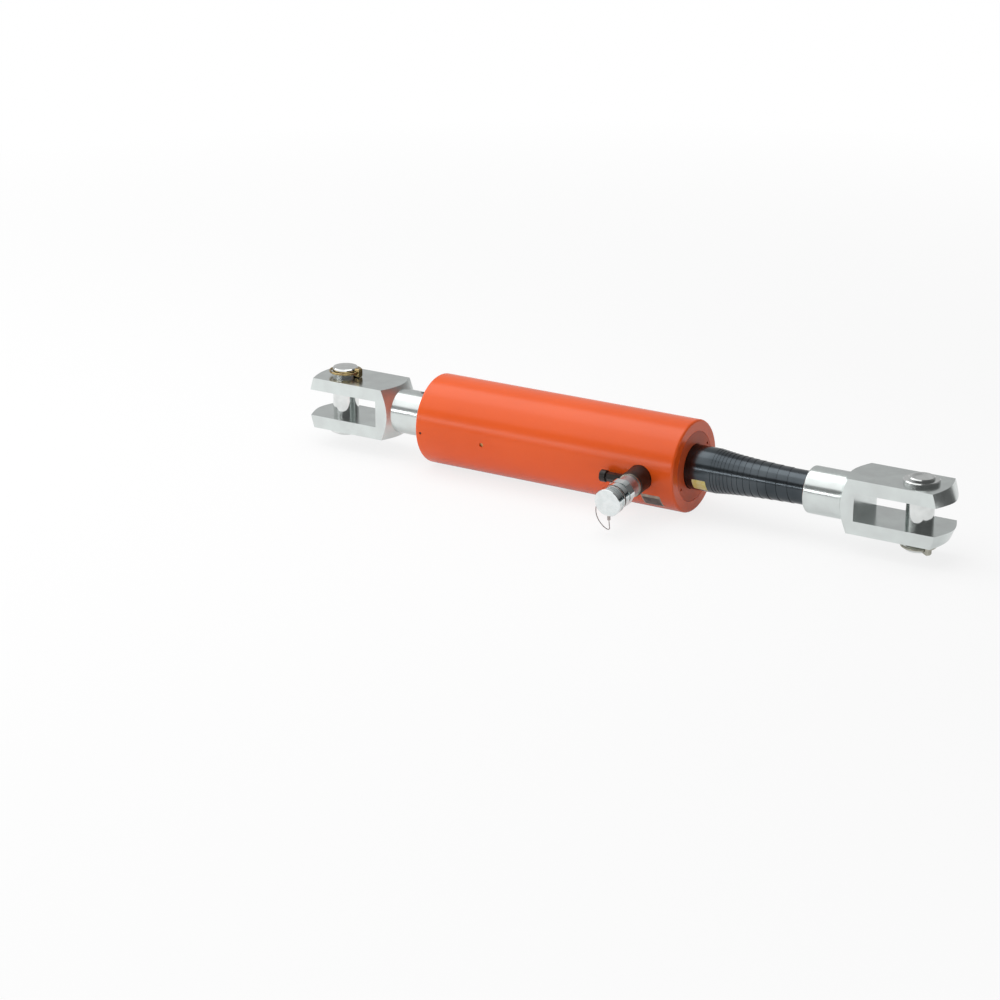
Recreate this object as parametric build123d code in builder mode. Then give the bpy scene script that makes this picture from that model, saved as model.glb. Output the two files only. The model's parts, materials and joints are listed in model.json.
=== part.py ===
"""Hydraulic pulling jack with a clevis at each end, in millimetres.

The origin is the centre of the base clevis pin. X runs along the jack to the rod end, Z runs along both
clevis pins, and the oil port points 6 degrees below -Y. The rod stands at the end of its stroke.
"""
from build123d import *
import math
import os

os.makedirs("parts", exist_ok=True)

# Driving sizes: stroke, barrel and rod
stroke = 100.0
barrel_radius = 60.0
closed_gap = 63.0
spring_room = 156.0
barrel_edge = 3.0
bore_radius = 40.0
rod_radius = 20.0
barrel_floor = 44.0
running_clearance = 0.05

# Fork ends, both alike, with the pin axis as their own origin
fork_width = 70.0
fork_slot = 36.0
fork_tip = 44.0
fork_tip_flat = 18.0
fork_tip_slope = 0.48
slot_depth = 72.0
fork_shoulder = 81.0
fork_neck_start = 93.0
fork_length = 144.0
neck_step = 5.0
neck_edge = 3.0
stud_radius = 18.0
stud_engagement = 54.0
stud_barrel_depth = 38.0
stud_end_gap = 2.0

# Clevis pins and their linch pins
pin_radius = 17.5
pin_head_radius = 22.7
pin_head_thickness = 5.0
pin_boss_radius = 16.2
pin_boss_height = 3.0
pin_dish_mouth = 12.0
pin_dish_radius = 8.0
pin_dish_depth = 1.6
pin_edge = 1.2
pin_protrusion = 15.0
base_pin_drop = 3.0
linch_height = 9.5
linch_radius = 3.0
linch_overhang = 0.9
linch_tip_chamfer = 0.45
linch_head_thickness = 7.0
linch_head_width = 9.0
linch_head_height = 12.0
linch_head_edge = 3.0
linch_head_gap = 0.4
linch_ring_wire = 1.6
linch_ring_radius = 21.0
linch_hole_play = 0.6
rod_linch_angle = -38.0

# Lock ring between base fork and barrel
lock_ring_thickness = 8.0
lock_ring_lip = 1.0
lock_ring_notch_width = 6.0
lock_ring_notch_depth = 3.0
lock_ring_notches = 4

# Gland, guide and seals
gland_radius = 45.5
gland_length = 27.0
gland_recess_depth = 8.0
gland_recess_radius = 29.2
gland_edge = 0.6
guide_length = 9.2
guide_radius = 23.0
rod_seal_length = 6.0
rod_seal_radius = 26.0
wiper_radius = 24.5
wiper_length = 3.0
gland_land = 0.8
gland_clearance = 0.3
face_seal_radius = 42.7
face_seal_wire = 1.2
spanner_hole_radius = 2.0
spanner_hole_depth = 8.0
spanner_circle = 40.5
spanner_angle = 32.0

# Piston and return spring
piston_gap = 14.0
piston_length = 42.0
piston_clearance = 0.3
spigot_radius = 15.0
piston_nut_flats = 46.0
piston_nut_length = 24.0
seal_width = 8.0
seal_depth = 6.0
wear_ring_width = 7.0
wear_ring_depth = 2.5
ring_spacing = 3.5
spring_wire = 3.0
spring_radius = 32.0
spring_turns = 9
o_ring_wire = 1.0

# Oil port, boss and relief valve
port_inset = 46.0
port_angle = 6.0
port_bore = 3.0
boss_radius = 16.5
boss_height = 24.0
boss_edge = 1.0
spotface_depth = 2.8
spotface_margin = 0.5
cut_clear = 1.0
boss_spigot_radius = 6.5
boss_spigot_length = 10.0
boss_seal_radius = 9.5
boss_seal_wire = 0.8
relief_height = 12.5
relief_spigot_radius = 4.0
relief_spigot_length = 6.5
relief_bore = 1.5
relief_flats = 11.0
relief_seat = 15.2
relief_seat_radius = 7.2
relief_end = 48.0
relief_head_radius = 7.75
relief_head_length = 8.5
relief_socket_flats = 6.0
relief_socket_depth = 4.0

# Quick coupler half and dust cap
collar_radius = 14.3
collar_length = 20.0
collar_ring_radius = 15.6
collar_ring_width = 1.6
collar_spigot_radius = 8.0
collar_spigot_length = 8.0
coupler_spigot_radius = 9.0
coupler_radius = 17.5
coupler_flats = 33.0
coupler_hex_length = 11.0
coupler_round_radius = 17.0
coupler_length = 20.5
coupler_groove_width = 4.5
coupler_groove_radius = 15.4
coupler_relief = 1.5
coupler_nose_radius = 15.0
coupler_nose_length = 10.0
coupler_seat_radius = 5.5
coupler_seat_length = 4.0
coupler_chamber_radius = 8.5
poppet_tip_radius = 5.3
poppet_collar_radius = 7.5
poppet_collar_length = 3.0
poppet_stem_radius = 2.0
poppet_stem_length = 12.0
poppet_spring_wire = 0.6
poppet_spring_radius = 5.0
poppet_spring_turns = 6
cap_radius = 18.0
cap_wall = 2.9
cap_end_wall = 3.5
cap_gap = 0.3
cap_groove_width = 1.1
cap_groove_step = 3.3
cap_groove_depth = 0.8
cap_edge = 0.6

# Cap lanyard
ferrule_radius = 2.0
ferrule_length = 5.7
lanyard_diameter = 1.2
noose_wire = 0.7
noose_ferrule_radius = 1.5
noose_ferrule_bottom = -1.5
noose_ferrule_length = 5.5
ferrule_inset = 2.8

# Telescopic spiral cover, wound from one spring steel strip
cover_turns = 15
strip_width = 42.0
strip_thickness = 0.3
strip_step = 0.5
cover_radius = 28.6
cover_first_edge = 34.5
cover_last_gap = 13.35
first_pitch = 4.0
pitch_turns = 12
seam_angle = 45.0
turn_share = 0.985
neck_recess_depth = 6.0
neck_recess_clearance = 0.6
cover_gap = 0.2

# Small screws and the breather
neck_screw_radius = 3.0
neck_screw_inset = 18.0
neck_screw_gap = 1.0
screw_recess = 1.0
barrel_hole_angle = 4.0
floor_screw_place = 8.0
floor_screw_radius = 1.75
floor_screw_length = 12.0
breather_place = 102.5
breather_radius = 3.0
breather_recess = 2.0
breather_length = 8.0

# Places along the jack that follow from the sizes
barrel_length = barrel_floor + spring_room + stroke + piston_length + piston_gap + gland_length
exposed_length = closed_gap + stroke
neck_radius = fork_width / 2 - neck_step
lock_ring_radius = neck_radius + lock_ring_lip
neck_screw_place = fork_length - neck_screw_inset
neck_screw_length = neck_radius - screw_recess - stud_radius - neck_screw_gap
barrel_start = fork_length + lock_ring_thickness
barrel_end = barrel_start + barrel_length
bore_start = barrel_start + barrel_floor
gland_start = barrel_end - gland_length
piston_end = gland_start - piston_gap
piston_start = piston_end - piston_length
port_place = barrel_end - port_inset
cover_start = barrel_end + cover_first_edge
spotface_level = barrel_radius - spotface_depth
boss_end = barrel_radius + boss_height
relief_level = barrel_radius + relief_height
collar_end = boss_end + collar_length
coupler_shoulder = collar_end + coupler_length
cap_start = coupler_shoulder + coupler_groove_width + cap_gap
nose_end = coupler_shoulder + coupler_groove_width + coupler_nose_length
cap_end = nose_end + cap_gap + cap_end_wall
ferrule_level = cap_end - ferrule_inset
pin_half_length = fork_width / 2 + pin_protrusion
linch_head_place = pin_radius + linch_head_gap + linch_head_thickness / 2
neck_face = barrel_end + exposed_length
rod_pin_place = neck_face + fork_length
free_turns = cover_turns - 1
climb_room = exposed_length - cover_first_edge - cover_last_gap - free_turns * first_pitch
pitch_growth = climb_room * pitch_turns**2 / sum(turn**2 for turn in range(free_turns))


def pitch_of(turn):
    """How far one turn of the cover climbs along the jack."""
    return first_pitch + pitch_growth * (turn / pitch_turns) ** 2


def write(part, label):
    """Label a finished piece and write its STEP file."""
    part.label = label
    export_step(part, f"parts/{label}.step")


def side_plane(place, level, angle):
    """A sketch plane facing outwards from the jack's axis, at an angle below -Y."""
    outward = Vector(0, -math.cos(math.radians(angle)), -math.sin(math.radians(angle)))
    return Plane(origin=Vector(place, 0, 0) + outward * level, x_dir=(1, 0, 0), z_dir=outward)


def port_piece(part):
    """Turn a piece that is drawn along -Y to where the oil port stands."""
    return part.rotate(Axis.X, port_angle)


def axis_plane(place):
    """A sketch plane across the jack's axis, facing the rod end."""
    return Plane(origin=(place, 0, 0), x_dir=(0, 1, 0), z_dir=(1, 0, 0))


def ring_piece(start, end, inner, outer):
    """A plain ring round the jack's axis."""
    with BuildPart() as ring:
        with BuildSketch(axis_plane(start)):
            Circle(outer)
            Circle(inner, mode=Mode.SUBTRACT)
        extrude(amount=end - start)
    return ring.part


# Barrel
with BuildPart() as barrel:
    with BuildSketch(axis_plane(barrel_start)):
        Circle(barrel_radius)
    extrude(amount=barrel_length)
    fillet(barrel.edges().filter_by(GeomType.CIRCLE), barrel_edge)
    with BuildSketch(axis_plane(bore_start)):
        Circle(bore_radius)
    extrude(amount=barrel_end - bore_start, mode=Mode.SUBTRACT)
    with BuildSketch(axis_plane(gland_start)):
        Circle(gland_radius)
    extrude(amount=gland_length, mode=Mode.SUBTRACT)
    with BuildSketch(axis_plane(barrel_start)):
        Circle(stud_radius)
    extrude(amount=stud_barrel_depth, mode=Mode.SUBTRACT)
    with BuildSketch(side_plane(port_place, spotface_level, port_angle)):
        Circle(boss_radius + spotface_margin)
    extrude(amount=spotface_depth + cut_clear, mode=Mode.SUBTRACT)
    with BuildSketch(side_plane(port_place, spotface_level, port_angle)):
        Circle(boss_spigot_radius)
    extrude(amount=-boss_spigot_length, mode=Mode.SUBTRACT)
    with BuildSketch(side_plane(port_place, spotface_level, port_angle)):
        Circle(port_bore)
    extrude(amount=rod_radius - spotface_level, mode=Mode.SUBTRACT)
    with BuildSketch(side_plane(barrel_start + floor_screw_place, barrel_radius, barrel_hole_angle)):
        Circle(floor_screw_radius)
    extrude(amount=stud_radius - barrel_radius, mode=Mode.SUBTRACT)
    with BuildSketch(side_plane(barrel_start + breather_place, barrel_radius, barrel_hole_angle)):
        Circle(breather_radius)
    extrude(amount=rod_radius - barrel_radius, mode=Mode.SUBTRACT)
write(barrel.part, "barrel")

# Set screw that locks the stud in the barrel floor, and the breather filter
with BuildPart() as floor_screw:
    place = barrel_start + floor_screw_place
    with BuildSketch(side_plane(place, barrel_radius - screw_recess, barrel_hole_angle)):
        Circle(floor_screw_radius)
    extrude(amount=-floor_screw_length)
write(floor_screw.part, "stud_set_screw")

with BuildPart() as breather:
    place = barrel_start + breather_place
    with BuildSketch(side_plane(place, barrel_radius - breather_recess, barrel_hole_angle)):
        Circle(breather_radius)
    extrude(amount=-breather_length)
write(breather.part, "breather_filter")


def fork_piece(pin_place, facing, recess_radius):
    """A turned and milled fork: square cheeks, coned tip and shoulder, round neck."""
    half = fork_width / 2
    corner = half * math.sqrt(2)
    tip_corner = fork_tip - fork_tip_slope * (corner - fork_tip_flat)
    frame = Plane(origin=(pin_place, 0, 0), x_dir=(facing, 0, 0), z_dir=(0, -facing, 0))
    with BuildPart() as fork:
        with BuildSketch(frame):
            with BuildLine():
                Polyline(
                    (-fork_tip, 0),
                    (-fork_tip, fork_tip_flat),
                    (-tip_corner, corner),
                    (fork_shoulder, corner),
                    (fork_neck_start, neck_radius),
                    (fork_length - neck_edge, neck_radius),
                )
                RadiusArc(
                    (fork_length - neck_edge, neck_radius), (fork_length, neck_radius - neck_edge), neck_edge
                )
                Polyline((fork_length, neck_radius - neck_edge), (fork_length, 0), (-fork_tip, 0))
            make_face()
        revolve(axis=Axis.X)
        span = fork_tip + fork_length
        middle = pin_place + facing * (fork_length - fork_tip) / 2
        with Locations((middle, 0, 0)):
            Box(span, fork_width, fork_width, mode=Mode.INTERSECT)
        with Locations((pin_place + facing * (slot_depth - fork_tip) / 2, 0, 0)):
            Box(slot_depth + fork_tip, fork_width, fork_slot, mode=Mode.SUBTRACT)
        with BuildSketch(Plane.XY.offset(-half)):
            with Locations((pin_place, 0)):
                Circle(pin_radius)
        extrude(amount=fork_width, mode=Mode.SUBTRACT)
        thread_plane = axis_plane(pin_place + facing * fork_length)
        with BuildSketch(thread_plane):
            Circle(stud_radius)
        extrude(amount=-facing * stud_engagement, mode=Mode.SUBTRACT)
        if recess_radius:
            with BuildSketch(thread_plane):
                Circle(recess_radius)
            extrude(amount=-facing * neck_recess_depth, mode=Mode.SUBTRACT)
        with BuildSketch(Plane.XY.offset(facing * neck_radius)):
            with Locations((pin_place + facing * neck_screw_place, 0)):
                Circle(neck_screw_radius)
        extrude(amount=facing * (stud_radius - neck_radius), mode=Mode.SUBTRACT)
    return fork.part


def neck_screw_piece(pin_place, facing):
    """The radial set screw that keeps a fork from unscrewing."""
    with BuildPart() as screw:
        with BuildSketch(Plane.XY.offset(facing * (neck_radius - screw_recess))):
            with Locations((pin_place + facing * neck_screw_place, 0)):
                Circle(neck_screw_radius)
        extrude(amount=-facing * neck_screw_length)
    return screw.part


def linch_direction(up):
    """The way a linch pin's head points, level with the fork's faces."""
    angle = math.radians(0 if up > 0 else rod_linch_angle)
    return Vector(math.cos(angle), math.sin(angle), 0)


def linch_centre(place, up):
    """Where the linch pin crosses the clevis pin's axis."""
    return Vector(place, 0, up * (fork_width / 2 + linch_height))


def clevis_pin_piece(place, up):
    """A clevis pin: flanged head with a dished boss, chamfered end, cross hole for its linch pin."""
    seat = fork_width / 2
    radius = pin_radius - running_clearance
    flange = seat + pin_head_thickness
    boss = flange + pin_boss_height
    dish = boss - pin_dish_depth
    with BuildPart() as pin:
        with BuildSketch(Plane(origin=(place, 0, 0), x_dir=(1, 0, 0), z_dir=(0, -1, 0))):
            with BuildLine():
                Polyline(
                    (0, -up * dish),
                    (pin_dish_radius, -up * dish),
                    (pin_dish_mouth, -up * boss),
                    (pin_boss_radius - pin_edge, -up * boss),
                    (pin_boss_radius, -up * (boss - pin_edge)),
                    (pin_boss_radius, -up * flange),
                    (pin_head_radius - pin_edge, -up * flange),
                    (pin_head_radius, -up * (flange - pin_edge)),
                    (pin_head_radius, -up * seat),
                    (radius, -up * seat),
                    (radius, up * (pin_half_length - pin_edge)),
                    (radius - pin_edge, up * pin_half_length),
                    (0, up * pin_half_length),
                    close=True,
                )
            make_face()
        revolve(axis=Axis((place, 0, 0), (0, 0, 1)))
        direction = linch_direction(up)
        with BuildSketch(Plane(origin=linch_centre(place, up) - direction * pin_radius, z_dir=direction)):
            Circle(linch_radius)
        extrude(amount=2 * pin_radius, mode=Mode.SUBTRACT)
    return pin.part


def linch_pin_piece(place, up):
    """The cross pin with its upright lug and tapered end."""
    direction = linch_direction(up)
    head = linch_centre(place, up) + direction * linch_head_place
    across = direction.cross(Vector(0, 0, 1))
    with BuildPart() as linch:
        with BuildSketch(Plane(origin=head, z_dir=direction * -1)):
            Circle(linch_radius)
        extrude(amount=linch_head_place + pin_radius + linch_overhang)
        chamfer(linch.faces().sort_by(Axis(head, direction))[0].edges(), linch_tip_chamfer)
        with BuildSketch(Plane(origin=head, x_dir=across, z_dir=direction)):
            RectangleRounded(linch_head_width, linch_head_height, linch_head_edge)
        extrude(amount=linch_head_thickness / 2, both=True)
        with BuildSketch(Plane(origin=head, z_dir=across)):
            Circle(linch_ring_wire + linch_hole_play)
        extrude(amount=linch_head_width, both=True, mode=Mode.SUBTRACT)
    return linch.part


def linch_ring_piece(place, up):
    """The spring ring that wraps the clevis pin's end and snaps over the linch pin's tip."""
    middle = linch_centre(place, up) + linch_direction(up) * (linch_head_place - linch_ring_radius)
    with BuildPart() as ring:
        with Locations(middle):
            Torus(linch_ring_radius, linch_ring_wire)
    return ring.part


# Base end: fork, set screw, lock ring, stud, and a pin that hangs in the fork by its linch pin
hanging = Pos(0, 0, -base_pin_drop)
write(fork_piece(0, 1, 0), "base_fork")
write(neck_screw_piece(0, 1), "base_fork_set_screw")
write(hanging * clevis_pin_piece(0, 1), "base_clevis_pin")
write(hanging * linch_pin_piece(0, 1), "base_linch_pin")
write(hanging * linch_ring_piece(0, 1), "base_linch_ring")

with BuildPart() as lock_ring:
    with BuildSketch(axis_plane(fork_length)):
        Circle(lock_ring_radius)
        Circle(stud_radius, mode=Mode.SUBTRACT)
        with PolarLocations(lock_ring_radius, lock_ring_notches):
            Rectangle(2 * lock_ring_notch_depth, lock_ring_notch_width, mode=Mode.SUBTRACT)
    extrude(amount=lock_ring_thickness)
write(lock_ring.part, "base_lock_ring")

with BuildPart() as stud:
    with BuildSketch(axis_plane(fork_length - stud_engagement + stud_end_gap)):
        Circle(stud_radius)
    extrude(amount=stud_engagement + lock_ring_thickness + stud_barrel_depth - 2 * stud_end_gap)
    chamfer(stud.edges().filter_by(GeomType.CIRCLE), stud_end_gap)
write(stud.part, "base_stud")

# Gland nut with its recess for the cover, seal groove and spanner holes
guide_end = gland_start + guide_length
rod_seal_start = guide_end + gland_land
rod_seal_end = rod_seal_start + rod_seal_length
recess_floor = barrel_end - gland_recess_depth

with BuildPart() as gland:
    with BuildSketch(axis_plane(gland_start)):
        Circle(gland_radius)
        Circle(rod_radius + gland_clearance, mode=Mode.SUBTRACT)
    extrude(amount=gland_length)
    outer_face = gland.faces().sort_by(Axis.X)[-1]
    chamfer(outer_face.edges().sort_by(SortBy.RADIUS)[-1], gland_edge)
    add(ring_piece(gland_start, guide_end, rod_radius, guide_radius), mode=Mode.SUBTRACT)
    add(ring_piece(rod_seal_start, rod_seal_end, rod_radius, rod_seal_radius), mode=Mode.SUBTRACT)
    add(ring_piece(recess_floor - wiper_length, recess_floor, rod_radius, wiper_radius), mode=Mode.SUBTRACT)
    add(ring_piece(recess_floor, barrel_end, rod_radius, gland_recess_radius), mode=Mode.SUBTRACT)
    add(
        ring_piece(
            gland_start,
            gland_start + 2 * face_seal_wire,
            face_seal_radius - face_seal_wire,
            face_seal_radius + face_seal_wire,
        ),
        mode=Mode.SUBTRACT,
    )
    with BuildSketch(axis_plane(barrel_end)):
        with PolarLocations(spanner_circle, 2, start_angle=spanner_angle):
            Circle(spanner_hole_radius)
    extrude(amount=-spanner_hole_depth, mode=Mode.SUBTRACT)
write(gland.part, "gland_nut")

inner_fit = rod_radius + running_clearance
write(ring_piece(gland_start, guide_end, inner_fit, guide_radius), "rod_guide_bush")
write(ring_piece(rod_seal_start, rod_seal_end, inner_fit, rod_seal_radius), "rod_seal")
write(ring_piece(recess_floor - wiper_length, recess_floor, inner_fit, wiper_radius), "rod_wiper")

with BuildPart() as face_seal:
    with Locations(Location((gland_start + face_seal_wire, 0, 0), (0, 90, 0))):
        Torus(face_seal_radius, face_seal_wire)
write(face_seal.part, "gland_o_ring")

# Piston with its grooves, seals, wear rings and nut
seal_start = (piston_start + piston_end - seal_width) / 2
wear_starts = (piston_start + ring_spacing, piston_end - ring_spacing - wear_ring_width)
piston_radius = bore_radius - piston_clearance
seal_groove = piston_radius - seal_depth
wear_groove = piston_radius - wear_ring_depth
o_ring_radius = spigot_radius + o_ring_wire

with BuildPart() as piston:
    add(ring_piece(piston_start, piston_end, spigot_radius, piston_radius))
    add(ring_piece(seal_start, seal_start + seal_width, seal_groove, bore_radius), mode=Mode.SUBTRACT)
    for start in wear_starts:
        add(ring_piece(start, start + wear_ring_width, wear_groove, bore_radius), mode=Mode.SUBTRACT)
    add(
        ring_piece(
            piston_end - ring_spacing - 2 * o_ring_wire,
            piston_end - ring_spacing,
            spigot_radius,
            spigot_radius + 2 * o_ring_wire,
        ),
        mode=Mode.SUBTRACT,
    )
write(piston.part, "piston")

with BuildPart() as piston_o_ring:
    with Locations(Location((piston_end - ring_spacing - o_ring_wire, 0, 0), (0, 90, 0))):
        Torus(o_ring_radius, o_ring_wire)
write(piston_o_ring.part, "piston_o_ring")

sliding_outer = bore_radius - running_clearance
write(
    ring_piece(
        seal_start + running_clearance,
        seal_start + seal_width - running_clearance,
        seal_groove + running_clearance,
        sliding_outer,
    ),
    "piston_seal",
)
with BuildPart() as wear_rings:
    for start in wear_starts:
        add(
            ring_piece(
                start + running_clearance,
                start + wear_ring_width - running_clearance,
                wear_groove + running_clearance,
                sliding_outer,
            )
        )
write(wear_rings.part, "piston_wear_rings")

with BuildPart() as piston_nut:
    with BuildSketch(axis_plane(piston_start - piston_nut_length)):
        RegularPolygon(piston_nut_flats / 2, 6, major_radius=False)
        Circle(spigot_radius, mode=Mode.SUBTRACT)
    extrude(amount=piston_nut_length)
write(piston_nut.part, "piston_nut")

# Rod with the piston's spigot at one end and the fork's thread at the other
neck_recess_floor = neck_face + neck_recess_depth
with BuildPart() as rod:
    with BuildSketch(axis_plane(piston_start - piston_nut_length)):
        Circle(spigot_radius)
    extrude(amount=piston_length + piston_nut_length)
    with BuildSketch(axis_plane(piston_end)):
        Circle(rod_radius)
    extrude(amount=neck_recess_floor - piston_end)
    with BuildSketch(axis_plane(neck_recess_floor)):
        Circle(stud_radius)
    extrude(amount=stud_engagement - neck_recess_depth - stud_end_gap)
write(rod.part, "piston_rod")

with BuildPart() as spring:
    with BuildLine():
        run = piston_start - bore_start - 2 * (spring_wire + running_clearance)
        spring_line = Helix(
            pitch=run / spring_turns,
            height=run,
            radius=spring_radius,
            center=(bore_start + spring_wire + running_clearance, 0, 0),
            direction=(1, 0, 0),
        )
    with BuildSketch(Plane(origin=spring_line @ 0, z_dir=spring_line % 0)):
        Circle(spring_wire)
    sweep(is_frenet=True)
write(spring.part, "return_spring")

# Rod end: fork with the cover's recess, set screw, pin and linch pin
last_cover_radius = cover_radius - strip_step * (cover_turns - 1)
write(fork_piece(rod_pin_place, -1, last_cover_radius + neck_recess_clearance), "rod_fork")
write(neck_screw_piece(rod_pin_place, -1), "rod_fork_set_screw")
write(clevis_pin_piece(rod_pin_place, -1), "rod_clevis_pin")
write(linch_pin_piece(rod_pin_place, -1), "rod_linch_pin")
write(linch_ring_piece(rod_pin_place, -1), "rod_linch_ring")


def cover_edge(turn):
    """Where a turn's edge nearest the rod fork starts, at the seam."""
    return cover_start + sum(pitch_of(earlier) for earlier in range(turn))


def cover_turn_piece(radius, edge, climb):
    """One turn of the spiral cover: a strip wound along a cone, a little under a full circle."""
    taper = math.degrees(math.atan2(strip_step, climb))
    with BuildPart() as turn:
        with BuildLine():
            line = Helix(
                pitch=climb,
                height=climb * turn_share,
                radius=radius,
                center=(edge - strip_width / 2, 0, 0),
                direction=(1, 0, 0),
                cone_angle=-taper,
            )
        with BuildSketch(Plane(origin=line @ 0, x_dir=(1, 0, 0), z_dir=(0, -1, 0))):
            Rectangle(strip_width, strip_thickness)
        sweep(is_frenet=True)
    return turn.part.rotate(Axis.X, -seam_angle)


# Spiral cover: every turn is a node, the last one seated in the rod fork's neck
for number in range(cover_turns):
    last = number == cover_turns - 1
    first_edge = neck_face if last else cover_edge(number)
    climb = neck_recess_depth - cover_gap if last else pitch_of(number)
    turn_radius = cover_radius - strip_step * number
    write(cover_turn_piece(turn_radius, first_edge, climb), f"cover_turn_{number + 1:02d}")

# Oil port: profiles are drawn as distance from the jack's axis against radius about the port's axis
port_axis = Axis((port_place, 0, 0), (0, -1, 0))
port_section = Plane(origin=(port_place, 0, 0), x_dir=(0, -1, 0), z_dir=(0, 0, 1))


def port_turned(points):
    """A piece turned about the oil port's axis from its closed outline."""
    with BuildPart() as turned:
        with BuildSketch(port_section):
            with BuildLine():
                Polyline(*points, close=True)
            make_face()
        revolve(axis=port_axis)
    return turned.part


def port_ring(start, end, inner, outer):
    """A plain ring about the oil port's axis."""
    return port_turned([(start, inner), (end, inner), (end, outer), (start, outer)])


def relief_plane(distance):
    """A sketch plane across the relief valve, facing away from the boss."""
    return Plane(origin=(port_place - distance, -relief_level, 0), x_dir=(0, 1, 0), z_dir=(-1, 0, 0))


socket_floor = boss_end - collar_spigot_length
with BuildPart() as boss:
    add(
        port_turned(
            [
                (spotface_level - boss_spigot_length, port_bore),
                (socket_floor, port_bore),
                (socket_floor, collar_spigot_radius),
                (boss_end, collar_spigot_radius),
                (boss_end, boss_radius - boss_edge),
                (boss_end - boss_edge, boss_radius),
                (spotface_level, boss_radius),
                (spotface_level, boss_spigot_radius),
                (spotface_level - boss_spigot_length, boss_spigot_radius),
            ]
        )
    )
    add(
        port_ring(
            spotface_level,
            spotface_level + 2 * boss_seal_wire,
            boss_seal_radius - boss_seal_wire,
            boss_seal_radius + boss_seal_wire,
        ),
        mode=Mode.SUBTRACT,
    )
    with BuildSketch(relief_plane(relief_seat)):
        Circle(relief_seat_radius)
    extrude(amount=boss_radius - relief_seat + cut_clear, mode=Mode.SUBTRACT)
    with BuildSketch(relief_plane(relief_seat)):
        Circle(relief_spigot_radius)
    extrude(amount=-relief_spigot_length, mode=Mode.SUBTRACT)
    with BuildSketch(relief_plane(relief_seat)):
        Circle(relief_bore)
    extrude(amount=-relief_seat, mode=Mode.SUBTRACT)
write(port_piece(boss.part), "port_boss")

with BuildPart() as boss_seal:
    with Locations(Location((port_place, -spotface_level - boss_seal_wire, 0), (90, 0, 0))):
        Torus(boss_seal_radius, boss_seal_wire)
write(port_piece(boss_seal.part), "port_o_ring")

relief_head_start = relief_end - relief_head_length
with BuildPart() as relief_body:
    with BuildSketch(relief_plane(relief_seat)):
        RegularPolygon(relief_flats / 2, 6, major_radius=False)
    extrude(amount=relief_head_start - relief_seat)
    with BuildSketch(relief_plane(relief_seat)):
        Circle(relief_spigot_radius)
    extrude(amount=-relief_spigot_length)
write(port_piece(relief_body.part), "relief_valve_body")

with BuildPart() as relief_head:
    with BuildSketch(relief_plane(relief_head_start)):
        Circle(relief_head_radius)
    extrude(amount=relief_head_length)
    chamfer(relief_head.edges().filter_by(GeomType.CIRCLE), cap_edge)
    with BuildSketch(relief_plane(relief_end)):
        RegularPolygon(relief_socket_flats / 2, 6, major_radius=False)
    extrude(amount=-relief_socket_depth, mode=Mode.SUBTRACT)
write(port_piece(relief_head.part), "relief_valve_adjuster")

# Collar nipple, its bright ring and the coupler body
collar = port_turned(
    [
        (socket_floor, port_bore),
        (collar_end + collar_spigot_length, port_bore),
        (collar_end + collar_spigot_length, coupler_spigot_radius),
        (collar_end, coupler_spigot_radius),
        (collar_end, collar_radius - boss_edge),
        (collar_end - boss_edge, collar_radius),
        (boss_end, collar_radius),
        (boss_end, collar_spigot_radius),
        (socket_floor, collar_spigot_radius),
    ]
)
bright_ring = port_ring(boss_end, boss_end + collar_ring_width, collar_radius, collar_ring_radius)
write(port_piece(collar), "coupler_collar")
write(port_piece(bright_ring), "collar_ring")

hex_end = collar_end + coupler_hex_length
groove_end = coupler_shoulder + coupler_groove_width
seat_start = nose_end - coupler_seat_length
nipple_end = collar_end + collar_spigot_length
with BuildPart() as coupler:
    with BuildSketch(side_plane(port_place, collar_end, 0)):
        RegularPolygon(coupler_flats / 2, 6, major_radius=False)
        Circle(coupler_radius, mode=Mode.INTERSECT)
    extrude(amount=coupler_hex_length)
    add(port_ring(hex_end, hex_end + coupler_relief, 0, coupler_groove_radius))
    add(port_ring(hex_end + coupler_relief, coupler_shoulder, 0, coupler_round_radius))
    add(port_ring(coupler_shoulder, groove_end, 0, coupler_groove_radius))
    add(port_ring(groove_end, nose_end, 0, coupler_nose_radius))
    add(port_ring(collar_end, nipple_end, 0, coupler_spigot_radius), mode=Mode.SUBTRACT)
    add(port_ring(nipple_end, seat_start, 0, coupler_chamber_radius), mode=Mode.SUBTRACT)
    add(port_ring(seat_start, nose_end, 0, coupler_seat_radius), mode=Mode.SUBTRACT)
write(port_piece(coupler.part), "coupler_body")

poppet_collar_start = seat_start - poppet_collar_length
poppet = port_turned(
    [
        (poppet_collar_start - poppet_stem_length, 0),
        (nose_end - coupler_relief, 0),
        (nose_end - coupler_relief, poppet_tip_radius - coupler_relief),
        (seat_start + coupler_relief, poppet_tip_radius),
        (seat_start - running_clearance, poppet_tip_radius),
        (seat_start - running_clearance, poppet_collar_radius),
        (poppet_collar_start, poppet_collar_radius),
        (poppet_collar_start, poppet_stem_radius),
        (poppet_collar_start - poppet_stem_length, poppet_stem_radius),
    ]
)
write(port_piece(poppet), "coupler_poppet")

with BuildPart() as poppet_spring:
    with BuildLine():
        poppet_run = poppet_collar_start - nipple_end - 2 * (poppet_spring_wire + running_clearance)
        poppet_line = Helix(
            pitch=poppet_run / poppet_spring_turns,
            height=poppet_run,
            radius=poppet_spring_radius,
            center=(port_place, -nipple_end - poppet_spring_wire - running_clearance, 0),
            direction=(0, -1, 0),
        )
    with BuildSketch(Plane(origin=poppet_line @ 0, z_dir=poppet_line % 0)):
        Circle(poppet_spring_wire)
    sweep(is_frenet=True)
write(port_piece(poppet_spring.part), "poppet_spring")

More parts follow.
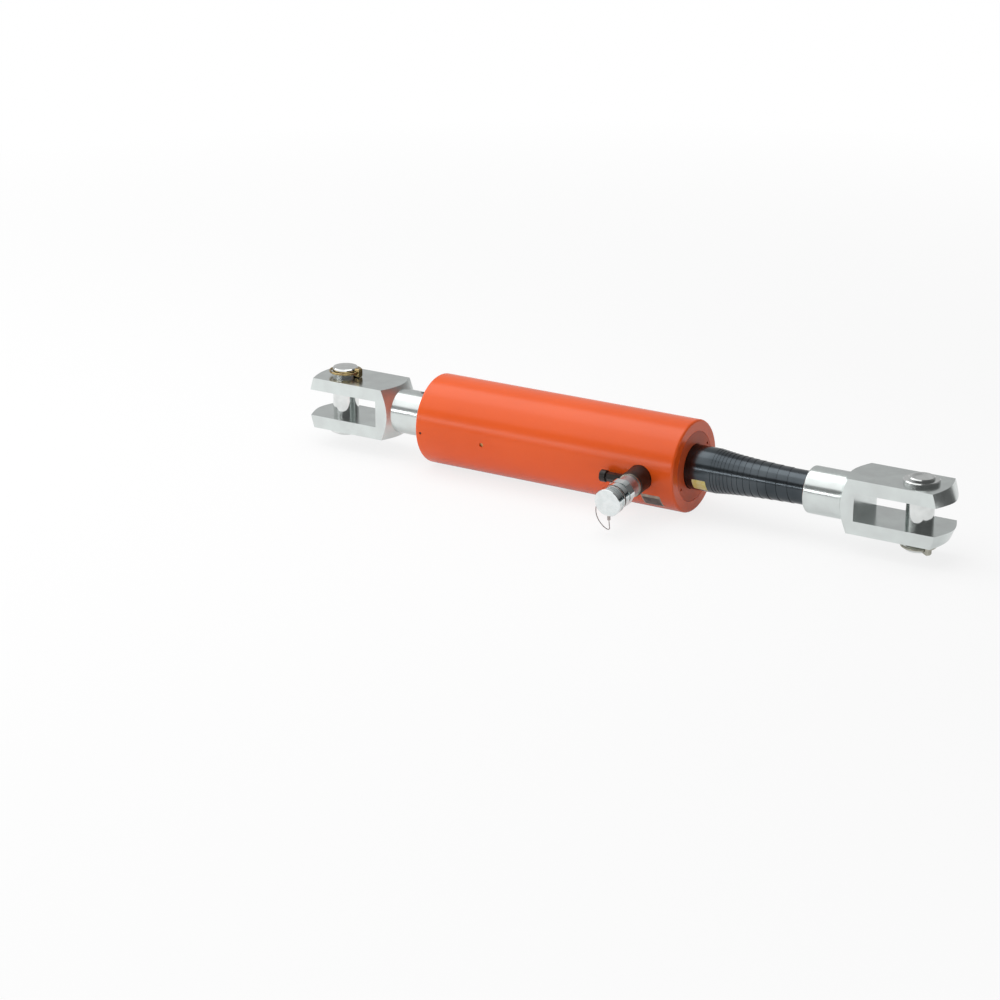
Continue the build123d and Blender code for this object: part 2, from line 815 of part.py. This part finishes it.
# Dust cap with its grooved rim
with BuildPart() as cap:
    add(
        port_turned(
            [
                (cap_start, cap_radius - cap_wall),
                (nose_end + cap_gap, cap_radius - cap_wall),
                (nose_end + cap_gap, 0),
                (cap_end, 0),
                (cap_end, cap_radius - cap_edge),
                (cap_end - cap_edge, cap_radius),
                (cap_start + cap_edge, cap_radius),
                (cap_start, cap_radius - cap_edge),
            ]
        )
    )
    for count in (1, 2):
        groove = cap_start + count * cap_groove_step
        floor = cap_radius - cap_groove_depth
        add(port_ring(groove, groove + cap_groove_width, floor, cap_radius + cut_clear), mode=Mode.SUBTRACT)
write(port_piece(cap.part), "dust_cap")

# Lanyard: crimp ferrule on the cap, noose and ferrule in the coupler's groove, wire between them
with BuildPart() as cap_ferrule:
    with BuildSketch(Plane.XY.offset(-cap_radius)):
        with Locations((port_place, -ferrule_level)):
            Circle(ferrule_radius)
    extrude(amount=-ferrule_length)
write(port_piece(cap_ferrule.part), "lanyard_cap_ferrule")

noose_level = coupler_shoulder + coupler_groove_width / 2
noose_radius = coupler_groove_radius + noose_wire
with BuildPart() as noose:
    with Locations(Location((port_place, -noose_level, 0), (90, 0, 0))):
        Torus(noose_radius, noose_wire)
write(port_piece(noose.part), "lanyard_noose")

with BuildPart() as noose_ferrule:
    with BuildSketch(Plane.XY.offset(noose_ferrule_bottom)):
        with Locations((port_place - noose_radius - noose_wire - noose_ferrule_radius, -noose_level)):
            Circle(noose_ferrule_radius)
    extrude(amount=noose_ferrule_length)
write(port_piece(noose_ferrule.part), "lanyard_noose_ferrule")

# Each point is its offset along the jack, its distance out past the noose, and its height
lanyard_route = [
    (0.0, 13.25, -23.7),
    (0.2, 13.4, -28.5),
    (0.6, 13.8, -32.3),
    (1.0, 14.2, -35.4),
    (-0.8, 14.4, -36.8),
    (-4.6, 14.2, -35.9),
    (-10.4, 13.6, -32.2),
    (-16.4, 12.2, -26.3),
    (-20.0, 10.4, -19.4),
    (-21.2, 7.8, -12.6),
    (-20.4, 4.4, -8.2),
    (-18.8, 1.2, -6.0),
    (-18.3, 0.0, -4.0),
    (-18.3, 0.0, -1.6),
]
lanyard_points = [(port_place + along, -noose_level - out, height) for along, out, height in lanyard_route]


def corner_radii(points):
    """The largest arc that each corner of a route has room for."""
    radii = []
    for before, here, after in zip(points, points[1:], points[2:]):
        arriving = Vector(here) - Vector(before)
        leaving = Vector(after) - Vector(here)
        half_turn = math.radians(arriving.get_angle(leaving)) / 2
        radii.append(0.45 * min(arriving.length, leaving.length) / math.tan(half_turn))
    return radii


lanyard_radii = corner_radii(lanyard_points)
with BuildPart() as lanyard:
    with BuildLine():
        lanyard_line = FilletPolyline(*lanyard_points, radius=lanyard_radii)
    with BuildSketch(Plane(origin=lanyard_line @ 0, z_dir=lanyard_line % 0)):
        Circle(lanyard_diameter / 2)
    sweep()
write(port_piece(lanyard.part), "cap_lanyard")
print("lanyard length", round(lanyard_line.length, 1), "arc radii", [round(r, 1) for r in lanyard_radii])
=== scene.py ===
import json
import math

import bmesh
import bpy
from mathutils import Matrix, Vector
from mathutils.bvhtree import BVHTree


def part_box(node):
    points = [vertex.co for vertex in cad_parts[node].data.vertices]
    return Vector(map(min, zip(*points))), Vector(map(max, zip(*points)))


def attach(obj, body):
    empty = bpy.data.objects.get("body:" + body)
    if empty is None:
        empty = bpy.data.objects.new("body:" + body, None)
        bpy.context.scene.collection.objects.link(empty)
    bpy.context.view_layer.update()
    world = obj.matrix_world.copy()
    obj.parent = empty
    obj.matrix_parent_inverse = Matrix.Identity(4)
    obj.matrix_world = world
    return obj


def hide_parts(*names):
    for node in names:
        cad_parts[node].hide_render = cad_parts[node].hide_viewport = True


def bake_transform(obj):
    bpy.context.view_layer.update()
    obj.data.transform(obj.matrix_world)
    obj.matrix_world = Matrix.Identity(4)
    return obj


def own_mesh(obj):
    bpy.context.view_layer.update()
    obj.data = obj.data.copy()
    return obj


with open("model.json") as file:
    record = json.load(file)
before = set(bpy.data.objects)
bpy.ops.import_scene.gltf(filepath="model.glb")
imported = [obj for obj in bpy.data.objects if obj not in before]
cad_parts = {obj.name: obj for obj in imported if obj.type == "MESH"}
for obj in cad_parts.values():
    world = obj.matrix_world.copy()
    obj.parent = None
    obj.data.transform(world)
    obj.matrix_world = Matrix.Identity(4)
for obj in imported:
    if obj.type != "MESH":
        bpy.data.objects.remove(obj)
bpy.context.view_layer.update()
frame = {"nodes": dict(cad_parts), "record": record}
nodes = frame["nodes"]

# Camera, at the photograph's viewing angle
CAMERA_PLACE = (1.98988, -2.82468, 1.08706)
CAMERA_RIGHT = (0.85097, 0.52521, 0.0)
CAMERA_UP = (-0.17677, 0.28642, 0.94166)
CAMERA_LENS = 95.46
SENSOR_WIDTH = 36.0


def make_camera():
    data = bpy.data.cameras.new("camera")
    data.lens = CAMERA_LENS
    data.sensor_width = SENSOR_WIDTH
    data.clip_end = 60.0
    camera = bpy.data.objects.new("camera", data)
    right = Vector(CAMERA_RIGHT)
    up = Vector(CAMERA_UP)
    back = right.cross(up)
    turn = Matrix((right, up, back)).transposed().to_4x4()
    camera.matrix_world = Matrix.Translation(CAMERA_PLACE) @ turn
    bpy.context.scene.collection.objects.link(camera)
    bpy.context.scene.camera = camera


make_camera()

# Sizes that the scene shares with the frame, in metres
MM = 0.001
BARREL_LOW, BARREL_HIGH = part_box("barrel")
FLOOR_LEVEL = BARREL_LOW.z - 0.5 * MM

# Lanyard of the dust cap, along the route of the frame's wire
PORT_X = 489.0
PORT_TURN = Matrix.Rotation(math.radians(6.0), 3, "X")
NOOSE_LEVEL = 126.75
LANYARD_DIAMETER = 1.2 * MM
LANYARD_STRANDS = 6
LANYARD_PITCH = 8.0 * MM
STRAND_SIDES = 8

# Each point: along the jack from the port, outward past the noose, and up
LANYARD_ROUTE = [
    (0.0, 13.25, -23.7),
    (0.2, 13.4, -28.5),
    (0.6, 13.8, -32.3),
    (1.0, 14.2, -35.4),
    (-0.8, 14.4, -36.8),
    (-4.6, 14.2, -35.9),
    (-10.4, 13.6, -32.2),
    (-16.4, 12.2, -26.3),
    (-20.0, 10.4, -19.4),
    (-21.2, 7.8, -12.6),
    (-20.4, 4.4, -8.2),
    (-18.8, 1.2, -6.0),
    (-18.3, 0.0, -4.0),
    (-18.3, 0.0, -1.6),
]


def port_point(along, outward, up):
    """A point given from the port's axis and the noose's level, in metres."""
    turned = PORT_TURN @ Vector((0.0, -NOOSE_LEVEL - outward, up))
    return Vector((PORT_X + along, turned.y, turned.z)) * MM


def smooth_line(name, points):
    """The points that a NURBS spline passes through between its control points."""
    data = bpy.data.curves.new(name, "CURVE")
    data.dimensions = "3D"
    spline = data.splines.new("NURBS")
    spline.points.add(len(points) - 1)
    for control, point in zip(spline.points, points):
        control.co = (*point, 1.0)
    spline.order_u = 3
    spline.use_endpoint_u = True
    spline.resolution_u = 12
    guide = bpy.data.objects.new(name, data)
    bpy.context.scene.collection.objects.link(guide)
    bpy.context.view_layer.update()
    line = bpy.data.meshes.new_from_object(guide)
    places = [vertex.co.copy() for vertex in line.vertices]
    bpy.data.objects.remove(guide)
    bpy.data.meshes.remove(line)
    return places


def link_mesh(name, mesh, smooth=True):
    """A new object for a finished mesh."""
    data = bpy.data.meshes.new(name)
    bmesh.ops.recalc_face_normals(mesh, faces=mesh.faces)
    mesh.to_mesh(data)
    mesh.free()
    for polygon in data.polygons:
        polygon.use_smooth = smooth
    piece = bpy.data.objects.new(name, data)
    bpy.context.scene.collection.objects.link(piece)
    return piece


def add_tube(mesh, line, radius, sides):
    """A closed round tube along a line of points."""
    side = (line[1] - line[0]).orthogonal().normalized()
    rings = []
    for index, place in enumerate(line):
        ahead = line[min(index + 1, len(line) - 1)] - line[max(index - 1, 0)]
        ahead.normalize()
        side = (side - ahead * side.dot(ahead)).normalized()
        across = ahead.cross(side)
        ring = []
        for step in range(sides):
            angle = 2 * math.pi * step / sides
            ring.append(mesh.verts.new(place + radius * (math.cos(angle) * side + math.sin(angle) * across)))
        rings.append(ring)
    for low, high in zip(rings, rings[1:]):
        for step in range(sides):
            after = (step + 1) % sides
            mesh.faces.new((low[step], low[after], high[after], high[step]))
    mesh.faces.new(reversed(rings[0]))
    mesh.faces.new(rings[-1])


def twisted_line(line, radius, start_angle, pitch):
    """A line that winds round another one."""
    side = (line[1] - line[0]).orthogonal().normalized()
    wound = []
    travelled = 0.0
    for index, place in enumerate(line):
        ahead = line[min(index + 1, len(line) - 1)] - line[max(index - 1, 0)]
        ahead.normalize()
        side = (side - ahead * side.dot(ahead)).normalized()
        across = ahead.cross(side)
        if index:
            travelled += (place - line[index - 1]).length
        angle = start_angle + 2 * math.pi * travelled / pitch
        wound.append(place + radius * (math.cos(angle) * side + math.sin(angle) * across))
    return wound


def make_lanyard():
    """A wire rope of strands round a core, from the cap's ferrule to the noose."""
    line = smooth_line("lanyard_line", [port_point(*point) for point in LANYARD_ROUTE])
    strand_radius = LANYARD_DIAMETER / 6
    mesh = bmesh.new()
    add_tube(mesh, line, strand_radius, STRAND_SIDES)
    for strand in range(LANYARD_STRANDS):
        angle = 2 * math.pi * strand / LANYARD_STRANDS
        wound = twisted_line(line, 2 * strand_radius, angle, LANYARD_PITCH)
        add_tube(mesh, wound, strand_radius, STRAND_SIDES)
    wire = link_mesh("lanyard_wire", mesh)
    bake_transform(wire)
    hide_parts("cap_lanyard")
    return wire


lanyard = make_lanyard()

# Materials
ORANGE = (0.84, 0.108, 0.012, 1.0)
ORANGE_WORN = (0.80, 0.099, 0.010, 1.0)
# Painted shade: a darker orange for the gland's face, standing in for the shade on the side turned away from the lamps
GLAND_ORANGE_PAINTED_SHADE = (0.52, 0.085, 0.030, 1.0)
ZINC = (0.73, 0.78, 0.765, 1.0)
ZINC_DULL = (0.66, 0.695, 0.685, 1.0)
PIN_STEEL = (0.80, 0.82, 0.81, 1.0)
PIN_STEEL_DULL = (0.70, 0.72, 0.71, 1.0)
YELLOW_ZINC = (0.52, 0.40, 0.18, 1.0)
YELLOW_ZINC_DULL = (0.27, 0.19, 0.10, 1.0)
PALE_ZINC = (0.56, 0.55, 0.47, 1.0)
PALE_ZINC_DULL = (0.34, 0.33, 0.28, 1.0)
BLACK = (0.007, 0.004, 0.003, 1.0)
BLACK_WORN = (0.026, 0.016, 0.012, 1.0)
SPRING_BLUE = (0.056, 0.066, 0.074, 1.0)
SPRING_BLUE_WORN = (0.100, 0.115, 0.126, 1.0)
NICKEL = (0.44, 0.41, 0.43, 1.0)
NICKEL_WORN = (0.58, 0.55, 0.565, 1.0)
BRIGHT = (0.86, 0.90, 0.90, 1.0)
BRIGHT_DULL = (0.76, 0.81, 0.81, 1.0)
CHROME = (0.80, 0.81, 0.82, 1.0)
STEEL = (0.50, 0.51, 0.52, 1.0)
STEEL_DULL = (0.36, 0.36, 0.37, 1.0)
RUBBER = (0.018, 0.018, 0.020, 1.0)
RUBBER_DUSTY = (0.035, 0.035, 0.036, 1.0)
BRONZE = (0.58, 0.36, 0.14, 1.0)
BRONZE_DULL = (0.40, 0.25, 0.11, 1.0)
WIRE = (0.52, 0.47, 0.45, 1.0)
WIRE_DULL = (0.32, 0.28, 0.27, 1.0)
LABEL_YELLOW = (0.72, 0.62, 0.16, 1.0)
LABEL_WORN = (0.78, 0.70, 0.36, 1.0)
PLATE = (0.50, 0.44, 0.36, 1.0)
PLATE_DULL = (0.32, 0.27, 0.23, 1.0)
PLATE_FIELD = (0.060, 0.050, 0.046, 1.0)
PLATE_FIELD_WORN = (0.16, 0.13, 0.11, 1.0)


def add_noise(tree, scale, stretch=(1.0, 1.0, 1.0), detail=3.0):
    """A noise texture in the object's own space, stretched along its axes."""
    place = tree.nodes.new("ShaderNodeTexCoord")
    mapping = tree.nodes.new("ShaderNodeMapping")
    mapping.inputs["Scale"].default_value = stretch
    texture = tree.nodes.new("ShaderNodeTexNoise")
    texture.inputs["Scale"].default_value = scale
    texture.inputs["Detail"].default_value = detail
    tree.links.new(place.outputs["Object"], mapping.inputs["Vector"])
    tree.links.new(mapping.outputs["Vector"], texture.inputs["Vector"])
    return texture.outputs["Fac"]


def add_ramp(tree, source, low, high, low_colour, high_colour):
    """Colours that follow a value between two of its levels."""
    ramp = tree.nodes.new("ShaderNodeValToRGB")
    ramp.color_ramp.elements[0].position = low
    ramp.color_ramp.elements[0].color = low_colour
    ramp.color_ramp.elements[1].position = high
    ramp.color_ramp.elements[1].color = high_colour
    tree.links.new(source, ramp.inputs["Fac"])
    return ramp.outputs["Color"]


def add_range(tree, source, low, high, from_low=0.0, from_high=1.0):
    """A value spread between two levels."""
    spread = tree.nodes.new("ShaderNodeMapRange")
    spread.inputs["From Min"].default_value = from_low
    spread.inputs["From Max"].default_value = from_high
    spread.inputs["To Min"].default_value = low
    spread.inputs["To Max"].default_value = high
    tree.links.new(source, spread.inputs["Value"])
    return spread.outputs["Result"]


def add_bump(tree, shader, source, distance, strength):
    bump = tree.nodes.new("ShaderNodeBump")
    bump.inputs["Distance"].default_value = distance
    bump.inputs["Strength"].default_value = strength
    tree.links.new(source, bump.inputs["Height"])
    tree.links.new(bump.outputs["Normal"], shader.inputs["Normal"])


def add_turned(tree, roughness, turned_roughness):
    """The roughness of ground faces, raised where a face slopes along the jack's axis."""
    geometry = tree.nodes.new("ShaderNodeNewGeometry")
    parts = tree.nodes.new("ShaderNodeSeparateXYZ")
    slope = tree.nodes.new("ShaderNodeMath")
    slope.operation = "ABSOLUTE"
    tree.links.new(geometry.outputs["True Normal"], parts.inputs["Vector"])
    tree.links.new(parts.outputs["X"], slope.inputs[0])
    share = add_range(tree, slope.outputs[0], 0.0, turned_roughness, 0.25, 0.5)
    larger = tree.nodes.new("ShaderNodeMath")
    larger.operation = "MAXIMUM"
    tree.links.new(roughness, larger.inputs[0])
    tree.links.new(share, larger.inputs[1])
    return larger.outputs[0]


def finish_material(
    name,
    colours,
    metallic,
    roughness,
    patch_scale,
    grain_scale,
    grain_stretch=(1, 1, 1),
    gloss=0.5,
    bump=0.1,
    turned_roughness=None,
):
    """A surface whose colour varies in patches, and whose roughness and bump follow a finer grain.

    With a turned roughness, faces that slope along the jack's axis are as rough as that.
    """
    material = bpy.data.materials.new(name)
    material.use_nodes = True
    tree = material.node_tree
    shader = tree.nodes["Principled BSDF"]
    shader.inputs["Metallic"].default_value = metallic
    shader.inputs["Specular IOR Level"].default_value = gloss
    patches = add_noise(tree, patch_scale)
    grain = add_noise(tree, grain_scale, grain_stretch)
    tree.links.new(add_ramp(tree, patches, 0.35, 0.68, *colours), shader.inputs["Base Color"])
    spread = add_range(tree, grain, *roughness)
    if turned_roughness:
        spread = add_turned(tree, spread, turned_roughness)
    tree.links.new(spread, shader.inputs["Roughness"])
    add_bump(tree, shader, grain, 0.05 * MM, bump)
    return material


TURNED = (6.0, 1.2, 1.2)
MATERIALS = {
    "orange_paint": finish_material(
        "orange_paint", (ORANGE_WORN, ORANGE), 0.0, (0.20, 0.28), 9, 500, gloss=0.42, bump=0.12
    ),
    # The gland face's paint: the barrel's orange darkened with painted shade, blended in patches with the worn orange
    "orange_paint_face": finish_material(
        "orange_paint_face", (GLAND_ORANGE_PAINTED_SHADE, ORANGE_WORN), 0.0, (0.36, 0.50), 14, 500, gloss=0.3, bump=0.2
    ),
    "zinc_steel": finish_material(
        "zinc_steel", (ZINC_DULL, ZINC), 1.0, (0.14, 0.27), 40, 60, TURNED, bump=0.30
    ),
    "turned_zinc_steel": finish_material(
        "turned_zinc_steel", (ZINC_DULL, ZINC), 1.0, (0.14, 0.27), 40, 60, TURNED, bump=0.30, turned_roughness=0.42
    ),
    "pin_steel": finish_material(
        "pin_steel", (PIN_STEEL_DULL, PIN_STEEL), 1.0, (0.05, 0.12), 90, 300, (1.0, 1.0, 6.0), bump=0.06
    ),
    "yellow_zinc": finish_material(
        "yellow_zinc", (YELLOW_ZINC_DULL, YELLOW_ZINC), 1.0, (0.12, 0.24), 160, 900, bump=0.1
    ),
    "pale_zinc": finish_material(
        "pale_zinc", (PALE_ZINC_DULL, PALE_ZINC), 1.0, (0.18, 0.32), 160, 900, bump=0.1
    ),
    "black_oxide": finish_material(
        "black_oxide", (BLACK, BLACK_WORN), 0.2, (0.30, 0.44), 120, 900, bump=0.2
    ),
    "spring_steel": finish_material(
        "spring_steel", (SPRING_BLUE, SPRING_BLUE_WORN), 1.0, (0.15, 0.23), 18, 220, bump=0.04
    ),
    "bright_zinc": finish_material(
        "bright_zinc", (BRIGHT_DULL, BRIGHT), 1.0, (0.07, 0.16), 120, 700, bump=0.05
    ),
    "dark_nickel": finish_material(
        "dark_nickel", (NICKEL, NICKEL_WORN), 1.0, (0.34, 0.44), 120, 900, bump=0.1
    ),
    "chrome_rod": finish_material(
        "chrome_rod", (CHROME, CHROME), 1.0, (0.05, 0.10), 60, 900, bump=0.05
    ),
    "plain_steel": finish_material(
        "plain_steel", (STEEL_DULL, STEEL), 1.0, (0.25, 0.42), 90, 600, bump=0.15
    ),
    "seal_rubber": finish_material(
        "seal_rubber", (RUBBER, RUBBER_DUSTY), 0.0, (0.50, 0.70), 120, 900, bump=0.3
    ),
    "guide_bronze": finish_material(
        "guide_bronze", (BRONZE_DULL, BRONZE), 1.0, (0.25, 0.45), 160, 900, bump=0.2
    ),
    "steel_wire": finish_material(
        "steel_wire", (WIRE_DULL, WIRE), 1.0, (0.30, 0.46), 700, 2500, bump=0.1
    ),
    "label_film": finish_material(
        "label_film", (LABEL_WORN, LABEL_YELLOW), 0.0, (0.34, 0.50), 190, 420, bump=0.9
    ),
    "plate_film": finish_material(
        "plate_film", (PLATE_DULL, PLATE), 0.6, (0.30, 0.46), 150, 700, (1.0, 4.0, 4.0), bump=0.3
    ),
    "plate_field": finish_material(
        "plate_field", (PLATE_FIELD, PLATE_FIELD_WORN), 0.3, (0.34, 0.50), 110, 700, (1.0, 4.0, 4.0), bump=0.3
    ),
}
NODE_FINISHES = {
    "base_fork": "turned_zinc_steel",
    "rod_linch_pin": "pale_zinc",
    "rod_linch_ring": "pale_zinc",
    "collar_ring": "pale_zinc",
}

lanyard.data.materials.append(MATERIALS["steel_wire"])
for entry in frame["record"]["subparts"]:
    name = entry["node"]
    finish = NODE_FINISHES.get(name, entry["material_slot"])
    nodes[name].data.materials.clear()
    nodes[name].data.materials.append(MATERIALS[finish])

# Springs of round wire, in place of the frame's spring nodes
RETURN_SPRING_LOW, RETURN_SPRING_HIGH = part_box("return_spring")
RETURN_SPRING_RADIUS = 32.0 * MM
RETURN_SPRING_WIRE = 3.0 * MM
RETURN_SPRING_TURNS = 9
POPPET_SPRING_LEVELS = (112.05, 131.95)
POPPET_SPRING_RADIUS = 5.0 * MM
POPPET_SPRING_WIRE = 0.6 * MM
POPPET_SPRING_TURNS = 6
TURN_STEPS = 40
WIRE_SIDES = 12


def coil_spring(node, start, end, radius, wire, turns):
    """A round wire wound between two points, in place of a node."""
    axis = (end - start).normalized()
    side = axis.orthogonal().normalized()
    across = axis.cross(side)
    first = start + axis * wire
    run = (end - start).length - 2 * wire
    line = []
    for step in range(turns * TURN_STEPS + 1):
        angle = 2 * math.pi * step / TURN_STEPS
        along = run * step / (turns * TURN_STEPS)
        line.append(first + axis * along + radius * (math.cos(angle) * side + math.sin(angle) * across))
    mesh = bmesh.new()
    add_tube(mesh, line, wire, WIRE_SIDES)
    spring = link_mesh(node + "_coils", mesh)
    spring.data.materials.append(MATERIALS["plain_steel"])
    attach(spring, "barrel_assembly")
    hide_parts(node)
    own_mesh(spring)


coil_spring(
    "return_spring",
    Vector((RETURN_SPRING_LOW.x, 0.0, 0.0)),
    Vector((RETURN_SPRING_HIGH.x, 0.0, 0.0)),
    RETURN_SPRING_RADIUS,
    RETURN_SPRING_WIRE,
    RETURN_SPRING_TURNS,
)
coil_spring(
    "poppet_spring",
    port_point(0.0, POPPET_SPRING_LEVELS[0] - NOOSE_LEVEL, 0.0),
    port_point(0.0, POPPET_SPRING_LEVELS[1] - NOOSE_LEVEL, 0.0),
    POPPET_SPRING_RADIUS,
    POPPET_SPRING_WIRE,
    POPPET_SPRING_TURNS,
)

# Bare films that lie on round surfaces
LABEL_SPAN = (545.5, 564.5)
LABEL_ANGLES = (14.0, 50.0)
LABEL_CORNER = 1.6
PLATE_SPAN = (486.5, 514.0)
PLATE_ANGLES = (29.0, 51.0)
PLATE_CORNER = 1.4
FIELD_SPAN = (488.0, 512.5)
FIELD_ANGLES = (34.0, 50.0)
FILM_COLUMNS = 16
FILM_ROWS = 24
CAST_RADIUS = 150 * MM


def film(name, node, span, angles, corner, lift, body, material):
    """A thin film with rounded corners, laid on a node's surface by rays from outside.

    Its span is along the jack in millimetres, and its angles run down from the jack's side in degrees.
    """
    surface = BVHTree.FromObject(nodes[node], bpy.context.evaluated_depsgraph_get())
    middle = sum(span) / 2
    half_width = (span[1] - span[0]) / 2
    first_hit = surface.ray_cast((middle * MM, -CAST_RADIUS, 0.0), (0.0, 1.0, 0.0))[0]
    round_radius = -first_hit.y
    half_length = math.radians(angles[1] - angles[0]) / 2 * round_radius / MM
    mesh = bmesh.new()
    rows = []
    for row in range(FILM_ROWS + 1):
        down = -math.cos(math.pi * row / FILM_ROWS) * half_length
        past = max(0.0, abs(down) - (half_length - corner))
        width = half_width - corner + math.sqrt(max(corner**2 - past**2, 0.0))
        angle = math.radians(sum(angles) / 2) + down * MM / round_radius
        outward = Vector((0.0, -math.cos(angle), -math.sin(angle)))
        places = []
        for column in range(FILM_COLUMNS + 1):
            along = middle - math.cos(math.pi * column / FILM_COLUMNS) * width
            start = outward * CAST_RADIUS + Vector((along * MM, 0.0, 0.0))
            hit = surface.ray_cast(start, -outward)[0]
            places.append((hit, outward))
        rows.append(places)
    top = [[mesh.verts.new(hit + outward * lift) for hit, outward in places] for places in rows]
    base = [[mesh.verts.new(hit) for hit, outward in places] for places in rows]
    for row in range(FILM_ROWS):
        for column in range(FILM_COLUMNS):
            for layer in (top, base):
                mesh.faces.new(
                    (layer[row][column], layer[row][column + 1], layer[row + 1][column + 1], layer[row + 1][column])
                )
        for column in (0, FILM_COLUMNS):
            mesh.faces.new((top[row][column], top[row + 1][column], base[row + 1][column], base[row][column]))
    for row in (0, FILM_ROWS):
        for column in range(FILM_COLUMNS):
            mesh.faces.new((top[row][column], top[row][column + 1], base[row][column + 1], base[row][column]))
    piece = link_mesh(name, mesh)
    piece.data.materials.append(MATERIALS[material])
    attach(piece, body)
    return piece


film("cover_label", "cover_turn_01", LABEL_SPAN, LABEL_ANGLES, LABEL_CORNER, 0.12 * MM, "barrel_assembly", "label_film")
film("rating_plate", "barrel", PLATE_SPAN, PLATE_ANGLES, PLATE_CORNER, 0.15 * MM, "barrel_assembly", "plate_film")
film("rating_field", "barrel", FIELD_SPAN, FIELD_ANGLES, PLATE_CORNER, 0.22 * MM, "barrel_assembly", "plate_field")

# Floor, lamps and world
FLOOR_SIDE = 30.0
FLOOR_GREY = (0.86, 0.86, 0.86, 1.0)
WHITE = (1.0, 1.0, 1.0, 1.0)
NEAR_WHITE = 0.80
NEAR_REACH = 0.7
FAR_REACH = 2.4
MIRRORED_SHARE = 0.60
SKY_GLOW = (-0.81, 0.46, 0.36)
SKY_LEVELS = (0.02, 0.50)
SKY_REACH = (-0.05, 0.9)
ROOM_FILL = 0.30


def seen_directly(tree, mirrored):
    """One for rays from the camera and through glass, and a share for mirror rays; zero for the light."""
    path = tree.nodes.new("ShaderNodeLightPath")
    share = tree.nodes.new("ShaderNodeMath")
    share.operation = "MULTIPLY"
    share.inputs[1].default_value = mirrored
    first = tree.nodes.new("ShaderNodeMath")
    first.operation = "MAXIMUM"
    second = tree.nodes.new("ShaderNodeMath")
    second.operation = "MAXIMUM"
    tree.links.new(path.outputs["Is Glossy Ray"], share.inputs[0])
    tree.links.new(path.outputs["Is Camera Ray"], first.inputs[0])
    tree.links.new(path.outputs["Is Transmission Ray"], first.inputs[1])
    tree.links.new(first.outputs[0], second.inputs[0])
    tree.links.new(share.outputs[0], second.inputs[1])
    return second.outputs[0]


def make_floor():
    """A matt floor that keeps the shadow near the object and fades to plain white away from it."""
    bpy.ops.mesh.primitive_plane_add(size=FLOOR_SIDE, location=(0.4, 0.0, FLOOR_LEVEL))
    floor = bpy.context.object
    floor.name = "floor"
    material = bpy.data.materials.new("floor_white")
    material.use_nodes = True
    tree = material.node_tree
    tree.nodes.remove(tree.nodes["Principled BSDF"])
    matt = tree.nodes.new("ShaderNodeBsdfDiffuse")
    matt.inputs["Color"].default_value = FLOOR_GREY
    glow = tree.nodes.new("ShaderNodeEmission")
    glow.inputs["Color"].default_value = WHITE
    place = tree.nodes.new("ShaderNodeTexCoord")
    distance = tree.nodes.new("ShaderNodeVectorMath")
    distance.operation = "LENGTH"
    tree.links.new(place.outputs["Object"], distance.inputs[0])
    fade = add_range(tree, distance.outputs["Value"], NEAR_WHITE, 1.0, NEAR_REACH, FAR_REACH)
    share = tree.nodes.new("ShaderNodeMath")
    share.operation = "MULTIPLY"
    mix = tree.nodes.new("ShaderNodeMixShader")
    tree.links.new(seen_directly(tree, MIRRORED_SHARE), share.inputs[0])
    tree.links.new(fade, share.inputs[1])
    tree.links.new(share.outputs[0], mix.inputs["Fac"])
    tree.links.new(matt.outputs[0], mix.inputs[1])
    tree.links.new(glow.outputs[0], mix.inputs[2])
    tree.links.new(mix.outputs[0], tree.nodes["Material Output"].inputs["Surface"])
    floor.data.materials.append(material)


def make_world():
    """A dim room that is brighter on one side, and white where the camera sees it."""
    world = bpy.data.worlds.new("studio")
    bpy.context.scene.world = world
    world.use_nodes = True
    tree = world.node_tree
    place = tree.nodes.new("ShaderNodeTexCoord")
    towards = tree.nodes.new("ShaderNodeVectorMath")
    towards.operation = "DOT_PRODUCT"
    towards.inputs[1].default_value = SKY_GLOW
    tree.links.new(place.outputs["Generated"], towards.inputs[0])
    level = add_range(tree, towards.outputs["Value"], *SKY_LEVELS, *SKY_REACH)
    path = tree.nodes.new("ShaderNodeLightPath")
    fill = tree.nodes.new("ShaderNodeMath")
    fill.operation = "MULTIPLY_ADD"
    fill.inputs[1].default_value = ROOM_FILL
    tree.links.new(path.outputs["Is Diffuse Ray"], fill.inputs[0])
    tree.links.new(level, fill.inputs[2])
    room = tree.nodes["Background"]
    room.inputs["Color"].default_value = WHITE
    tree.links.new(fill.outputs[0], room.inputs["Strength"])
    seen = tree.nodes.new("ShaderNodeBackground")
    seen.inputs["Color"].default_value = WHITE
    mix = tree.nodes.new("ShaderNodeMixShader")
    tree.links.new(seen_directly(tree, 0.1), mix.inputs["Fac"])
    tree.links.new(room.outputs[0], mix.inputs[1])
    tree.links.new(seen.outputs[0], mix.inputs[2])
    tree.links.new(mix.outputs[0], tree.nodes["World Output"].inputs["Surface"])


def make_lamp(name, place, target, size, level):
    """A soft rectangular lamp aimed at a point, as bright as its level times white."""
    data = bpy.data.lights.new(name, "AREA")
    data.shape = "RECTANGLE"
    data.size, data.size_y = size
    data.energy = level * math.pi * size[0] * size[1]
    lamp = bpy.data.objects.new(name, data)
    lamp.location = place
    lamp.rotation_euler = (Vector(target) - Vector(place)).to_track_quat("-Z", "Y").to_euler()
    bpy.context.scene.collection.objects.link(lamp)


make_floor()
make_world()
make_lamp("lamp_above", (-0.7, -0.68, 1.5), (-0.7, -0.679, 0.0), (3.4, 2.65), 0.98)
make_lamp("lamp_top", (-0.7, 0.05, 1.45), (-0.7, 0.051, 0.0), (3.4, 0.9), 0.7)
make_lamp("lamp_front", (-1.2, -2.7, 0.55), (0.4, 0.0, 0.0), (3.2, 0.22), 5.5)

bpy.context.scene.view_settings.view_transform = "Standard"
